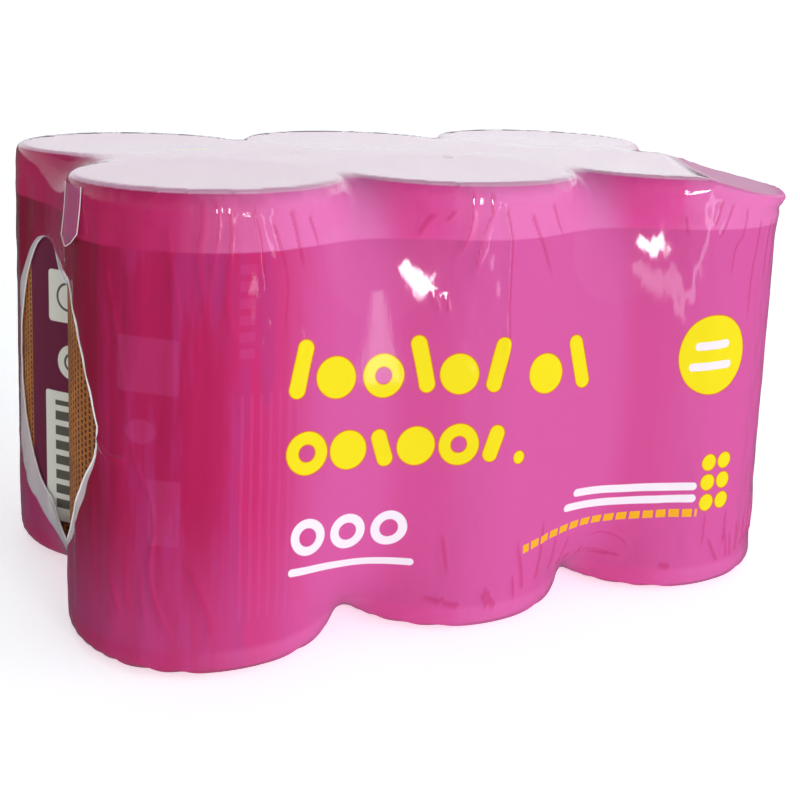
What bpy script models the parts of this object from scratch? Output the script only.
"""Six slim drinks cans, two rows of three, held together by a printed shrink film.

Units are metres, +Z is up.  The long side of the pack runs along X, its front looks towards -Y, and
the origin is the middle of the film's flat underside.  The film is a sleeve that has shrunk onto the
cans.  It closes round the pack's length and leaves an oval opening at each end.
"""
import math

import bmesh
import bpy
import numpy as np

# Driving dimensions of one can
CAN_DIAMETER = 0.053
CAN_HEIGHT = 0.091
RIM_HEIGHT = 0.0028
RIM_RADIUS = 0.0009             # round edge between the rim's side and its top
NECK_DIAMETER = 0.0496
SHOULDER_DROP = 0.0105          # from the rim's top down to where the straight body starts
PANEL_DEPTH = 0.0052            # the lid lies this far under the rim
FOOT_DIAMETER = 0.0465
FOOT_RADIUS = 0.0030            # round edge between the body and the foot
DOME_HEIGHT = 0.0060
CAN_SEGMENTS = 24

# The pack
COLUMNS = 3
ROWS = 2
CAN_GAP = 0.0004                # between neighbouring cans
FILM_THICKNESS = 0.0004
FILM_CLEARANCE = 0.0004         # between the film and what it wraps

# The oval opening at each end, and how far its middle lies from the pack's middle
OPENING_WIDTH = 0.060
OPENING_HEIGHT = 0.064
OPENING_SHIFT_Y = -0.004
BRIDGE_HALF_WIDTH = 0.012       # this near the pack's middle the edge spans straight from can to can

# The dented rim of the front right can
DENT_DEPTH = 0.0060
DENT_DIRECTION = math.radians(-30)
DENT_BULGE = 0.0004
DENT_POWER = 2.2                # how steeply the dent deepens from the can's axis to its rim

# How the film is divided and relaxed
SIDE_STEPS = (18, 15, 18, 11)   # up the front, over the top, down the back and under the pack
END_STEPS = 7                   # from an opening's edge out to the pack's corner
LENGTH_STEPS = 27
END_CROWDING = 0.35             # how much closer together those steps are near the ends
RELAX_ROUNDS = 900
SETTLE_ROUNDS = 160             # the last rounds, in which the pull dies away
FLAT_SNAP = 0.00015             # what lies this little above the underside is flat with it
SLIP = 0.1                      # how freely the film slides where it touches a can
GIRTH_PULL = 2.0                # the pull round the pack against the pull along it
BAG_SLACK = 0.0012              # between the cans and the loose bag that the film starts as
PULL_STEP = 0.9                 # the share of the pull that each round follows

# Derived sizes
CAN_RADIUS = CAN_DIAMETER / 2
PITCH = CAN_DIAMETER + CAN_GAP
FILM_OFFSET = FILM_CLEARANCE + FILM_THICKNESS / 2
FACET_OFFSET = FILM_OFFSET - 0.0001         # the middles of facets may lie a little closer
CAN_FLOOR = FILM_THICKNESS + FILM_CLEARANCE
CAN_TOP = CAN_FLOOR + CAN_HEIGHT
HALF_LENGTH = (COLUMNS - 1) / 2 * PITCH + CAN_RADIUS
HALF_WIDTH = (ROWS - 1) / 2 * PITCH + CAN_RADIUS
PACK_HEIGHT = CAN_TOP + FILM_CLEARANCE + FILM_THICKNESS
MIDDLE_Z = PACK_HEIGHT / 2

COLUMN_NAMES = ("left", "middle", "right")
ROW_NAMES = ("front", "back")
DENTED_CAN = "can_front_right"


def clear_scene():
    for thing in list(bpy.data.objects):
        bpy.data.objects.remove(thing, do_unlink=True)


def new_material(name, colour, roughness, metallic, alpha=1.0):
    material = bpy.data.materials.new(name)
    material.use_nodes = True
    shader = material.node_tree.nodes["Principled BSDF"]
    shader.inputs["Base Color"].default_value = (*colour, 1.0)
    shader.inputs["Roughness"].default_value = roughness
    shader.inputs["Metallic"].default_value = metallic
    shader.inputs["Alpha"].default_value = alpha
    material.diffuse_color = (*colour, alpha)
    return material


def can_centres():
    """The name and the plan position of every can."""
    for row in range(ROWS):
        for column in range(COLUMNS):
            x = (column - (COLUMNS - 1) / 2) * PITCH
            y = (row - (ROWS - 1) / 2) * PITCH
            yield f"can_{ROW_NAMES[row]}_{COLUMN_NAMES[column]}", x, y


def can_profile():
    """Radius and height along a can's skin, from the lid's middle over the rim to the foot's middle."""
    top = CAN_HEIGHT
    neck = NECK_DIAMETER / 2
    rim_wall = 0.0022
    rim_45 = RIM_RADIUS * (1 - math.sqrt(0.5))
    foot = FOOT_DIAMETER / 2
    foot_45 = FOOT_RADIUS * (1 - math.sqrt(0.5))
    foot_width = 0.0015
    return [
        (0.0, top - PANEL_DEPTH),
        (neck - 0.0045, top - PANEL_DEPTH),
        (neck - rim_wall, top - PANEL_DEPTH - 0.0010),
        (CAN_RADIUS - rim_wall, top),
        (CAN_RADIUS - RIM_RADIUS, top),
        (CAN_RADIUS - rim_45, top - rim_45),
        (CAN_RADIUS, top - RIM_RADIUS),
        (CAN_RADIUS, top - RIM_HEIGHT),
        (neck, top - RIM_HEIGHT - RIM_RADIUS),
        (CAN_RADIUS, top - SHOULDER_DROP),
        (CAN_RADIUS, FOOT_RADIUS),
        (CAN_RADIUS - foot_45, foot_45),
        (foot, 0.0),
        (foot - foot_width, 0.0),
        (0.0, DOME_HEIGHT),
    ]


def dent_drop(x, y):
    """How far the dented can's rim is pushed down at a plan point measured from that can's axis."""
    along = x * math.cos(DENT_DIRECTION) + y * math.sin(DENT_DIRECTION)
    share = np.clip(along / CAN_RADIUS, 0.0, None)
    return DENT_DEPTH * share ** DENT_POWER


def dent_share(z):
    """The share of the dent felt at a height: none at the shoulder, all of it at the rim."""
    return np.clip((z - (CAN_TOP - SHOULDER_DROP)) / (SHOULDER_DROP - RIM_HEIGHT), 0.0, 1.0)


def turned_can(name):
    mesh = bpy.data.meshes.new(name)
    profile = can_profile()
    points = [(r, 0.0, z) for r, z in profile]
    mesh.from_pydata(points, [(i, i + 1) for i in range(len(points) - 1)], [])
    can = bpy.data.objects.new(name, mesh)
    bpy.context.scene.collection.objects.link(can)
    screw = can.modifiers.new("Turn", "SCREW")
    screw.steps = CAN_SEGMENTS
    screw.render_steps = CAN_SEGMENTS
    screw.use_merge_vertices = True
    screw.merge_threshold = 0.00001
    bpy.context.view_layer.update()
    turned = bpy.data.meshes.new_from_object(can.evaluated_get(bpy.context.evaluated_depsgraph_get()))
    bpy.data.objects.remove(can)
    turned.name = name
    return turned


def dented(mesh):
    """A copy of a can's mesh with its rim pushed down and out on one side."""
    copy = mesh.copy()
    shape = bmesh.new()
    shape.from_mesh(copy)
    for vertex in shape.verts:
        x, y, z = vertex.co
        share = float(dent_share(z + CAN_FLOOR))
        drop = float(dent_drop(x, y)) * share
        radius = math.hypot(x, y)
        vertex.co.z -= drop
        if radius > NECK_DIAMETER / 2 and share > 0:
            swell = 1 + DENT_BULGE / CAN_RADIUS * drop / DENT_DEPTH
            vertex.co.x *= swell
            vertex.co.y *= swell
    shape.to_mesh(copy)
    shape.free()
    return copy


def add_cans(collection, material):
    whole = turned_can("can")
    whole.materials.append(material)
    pushed_in = dented(whole)
    for name, x, y in can_centres():
        can = bpy.data.objects.new(name, pushed_in if name == DENTED_CAN else whole)
        can.location = (x, y, CAN_FLOOR)
        can.data.shade_smooth()
        can.data.set_sharp_from_angle(angle=math.radians(35))
        collection.objects.link(can)


def crowded(count):
    """Numbers from 0 to 1 that lie close together near both ends."""
    t = np.linspace(0.0, 1.0, count + 1)
    return (1 - np.cos(np.pi * t)) / 2


def loop_lines():
    """Distances along the way round the pack, close together near its four long edges, and the corner
    points of a rectangle just outside the cans at those distances."""
    half = HALF_WIDTH + BAG_SLACK
    low, high = CAN_FLOOR - BAG_SLACK, CAN_TOP + BAG_SLACK
    corners = [(-half, low), (-half, high), (half, high), (half, low)]
    points, distances, walked = [], [], 0.0
    for a, b, steps in zip(corners, corners[1:] + corners[:1], SIDE_STEPS):
        length = math.dist(a, b)
        for t in crowded(steps)[:-1]:
            points.append((a[0] + (b[0] - a[0]) * t, a[1] + (b[1] - a[1]) * t))
            distances.append(walked + length * t)
        walked += length
    return np.array(points), np.array(distances), walked


def opening_edge(points, side):
    """The oval edge of an end opening, one point for each line round the pack."""
    centre = np.array([OPENING_SHIFT_Y, MIDDLE_Z])
    away = points - centre
    angle = np.arctan2(away[:, 1] / OPENING_HEIGHT, away[:, 0] / OPENING_WIDTH)
    y = centre[0] + OPENING_WIDTH / 2 * np.cos(angle)
    z = centre[1] + OPENING_HEIGHT / 2 * np.sin(angle)
    from_axis = np.abs(np.maximum(np.abs(y), BRIDGE_HALF_WIDTH) - PITCH / 2)
    reach = np.sqrt((CAN_RADIUS + FILM_OFFSET) ** 2 - from_axis ** 2)
    x = side * ((COLUMNS - 1) / 2 * PITCH + reach)
    return np.stack([x, y, z], -1)


def first_bag():
    """A loose bag round the cans: rows run from the left opening to the right one."""
    loop, distances, around = loop_lines()
    end_x = HALF_LENGTH + BAG_SLACK
    grid, stations = [], []
    left, right = opening_edge(loop, -1), opening_edge(loop, 1)
    corner = [np.column_stack([np.full(len(loop), side * end_x), loop]) for side in (-1, 1)]
    reach = float(np.linalg.norm(corner[0] - left, axis=1).mean())
    out = np.sin(np.linspace(0, np.pi / 2, END_STEPS + 1))
    for t in out[:-1]:
        grid.append(left + (corner[0] - left) * t)
        stations.append(reach * t)
    even = np.linspace(0, 1, LENGTH_STEPS + 1)
    for t in even + END_CROWDING * (crowded(LENGTH_STEPS) - even):
        grid.append(corner[0] + (corner[1] - corner[0]) * t)
        stations.append(reach + 2 * end_x * t)
    for t in out[::-1][1:]:
        grid.append(right + (corner[1] - right) * t)
        stations.append(reach + 2 * end_x + reach * (1 - t))
    return np.array(grid), np.array(stations), distances, around


def push_out(points, offset):
    """Moves points that lie within the offset of a can out to it."""
    for name, x, y in can_centres():
        dx, dy = points[..., 0] - x, points[..., 1] - y
        radius = np.hypot(dx, dy) + 1e-9
        z = points[..., 2].copy()
        wall = CAN_RADIUS
        if name == DENTED_CAN:
            felt = dent_share(z) * dent_drop(dx, dy)
            z = z + felt
            wall = CAN_RADIUS + DENT_BULGE * felt / DENT_DEPTH
        upper = z > MIDDLE_Z
        corner = np.where(upper, RIM_RADIUS, FOOT_RADIUS)
        across = radius - (wall - corner)
        up = np.abs(z - (CAN_FLOOR + CAN_TOP) / 2) - (CAN_HEIGHT / 2 - corner)
        out_r, out_z = np.maximum(across, 0.0), np.maximum(up, 0.0)
        rounded = np.hypot(out_r, out_z)
        depth = np.minimum(np.maximum(across, up), 0.0) + rounded - corner - offset
        inside = depth < 0
        on_corner = rounded > 1e-9
        flat_r = across > up
        n_r = np.where(on_corner, out_r / np.maximum(rounded, 1e-9), flat_r)
        n_z = np.where(on_corner, out_z / np.maximum(rounded, 1e-9), ~flat_r)
        n_z = n_z * np.where(upper, 1.0, -1.0)
        move = np.where(inside, -depth, 0.0)
        points[..., 0] += move * n_r * dx / radius
        points[..., 1] += move * n_r * dy / radius
        points[..., 2] += move * n_z
    return points


def within_box(film):
    """Keeps the film inside the box that its flat underside, its flat top and its sides stand on."""
    reach = FILM_OFFSET + DENT_BULGE
    film[..., 0] = np.clip(film[..., 0], -HALF_LENGTH - reach, HALF_LENGTH + reach)
    film[..., 1] = np.clip(film[..., 1], -HALF_WIDTH - reach, HALF_WIDTH + reach)
    film[..., 2] = np.clip(film[..., 2], FILM_THICKNESS / 2, CAN_TOP + FILM_OFFSET)
    return film


def clear_of_cans(film):
    """Moves the film off the cans at the middles of its edges and faces, then at its points."""
    middle = (film + np.roll(film, -1, axis=1)) / 2
    move = push_out(middle.copy(), FACET_OFFSET) - middle
    film[1:-1] += 0.5 * (move + np.roll(move, 1, axis=1))[1:-1]
    middle = (film[1:] + film[:-1]) / 2
    move = push_out(middle.copy(), FACET_OFFSET) - middle
    film[1:-1] += 0.5 * (move[1:] + move[:-1])
    for shift in (-1, 1):
        middle = (film[1:] + np.roll(film, shift, axis=1)[:-1]) / 2
        move = push_out(middle.copy(), FACET_OFFSET) - middle
        film[1:-1] += 0.25 * (move[:-1] + np.roll(move, -shift, axis=1)[1:])
    film[1:-1] = push_out(film[1:-1], FILM_OFFSET)
    return film


def relaxed_film():
    """The film's middle surface: a stretched skin that draws in over the cans until it is at rest."""
    film, stations, distances, around = first_bag()
    step_u = np.diff(stations)
    step_v = np.diff(np.append(distances, distances[0] + around))
    span_u = (step_u[:-1] + step_u[1:]) / 2
    span_v = (step_v + np.roll(step_v, 1)) / 2
    ahead = (span_v[None, :] / step_u[1:, None])[..., None]
    behind = (span_v[None, :] / step_u[:-1, None])[..., None]
    left = GIRTH_PULL * (span_u[:, None] / np.roll(step_v, 1)[None, :])[..., None]
    right = GIRTH_PULL * (span_u[:, None] / step_v[None, :])[..., None]
    total = ahead + behind + left + right
    for turn in range(RELAX_ROUNDS + SETTLE_ROUNDS):
        settling = max(0.0, (turn - RELAX_ROUNDS) / SETTLE_ROUNDS)
        inner = film[1:-1]
        pulled = (ahead * film[2:] + behind * film[:-2] + left * np.roll(inner, 1, axis=1)
                  + right * np.roll(inner, -1, axis=1)) / total
        drawn = inner + PULL_STEP * (1 - settling) * (pulled - inner)
        held = push_out(drawn.copy(), FILM_OFFSET)
        touching = np.abs(held - drawn).max(-1, keepdims=True) > 0
        film[1:-1] = inner + np.where(touching, SLIP, 1.0) * (held - inner)
        film[1:-1] = push_out(film[1:-1], FILM_OFFSET)
        if settling > 0:
            film = clear_of_cans(film)
        film = within_box(film)
    return film


def add_film(collection, material):
    film = relaxed_film()
    low = film[..., 2] < FILM_THICKNESS / 2 + FLAT_SNAP
    film[..., 2] = np.where(low, FILM_THICKNESS / 2, film[..., 2])
    rows, lines = film.shape[:2]
    faces = []
    for i in range(rows - 1):
        for j in range(lines):
            k = (j + 1) % lines
            faces.append((i * lines + j, i * lines + k, (i + 1) * lines + k, (i + 1) * lines + j))
    mesh = bpy.data.meshes.new("film")
    mesh.from_pydata([tuple(p) for p in film.reshape(-1, 3)], [], faces)
    mesh.materials.append(material)
    shape = bmesh.new()
    shape.from_mesh(mesh)
    bmesh.ops.recalc_face_normals(shape, faces=shape.faces)
    shape.to_mesh(mesh)
    shape.free()
    mesh.shade_smooth()
    skin = bpy.data.objects.new("film", mesh)
    collection.objects.link(skin)
    wall = skin.modifiers.new("Thickness", "SOLIDIFY")
    wall.thickness = FILM_THICKNESS
    wall.offset = 0.0


def main():
    clear_scene()
    pack = bpy.data.collections.new("six pack of cans")
    bpy.context.scene.collection.children.link(pack)
    add_cans(pack, new_material("printed can", (0.30, 0.10, 0.05), 0.35, 0.4))
    add_film(pack, new_material("printed shrink film", (0.62, 0.06, 0.27), 0.18, 0.0))


main()
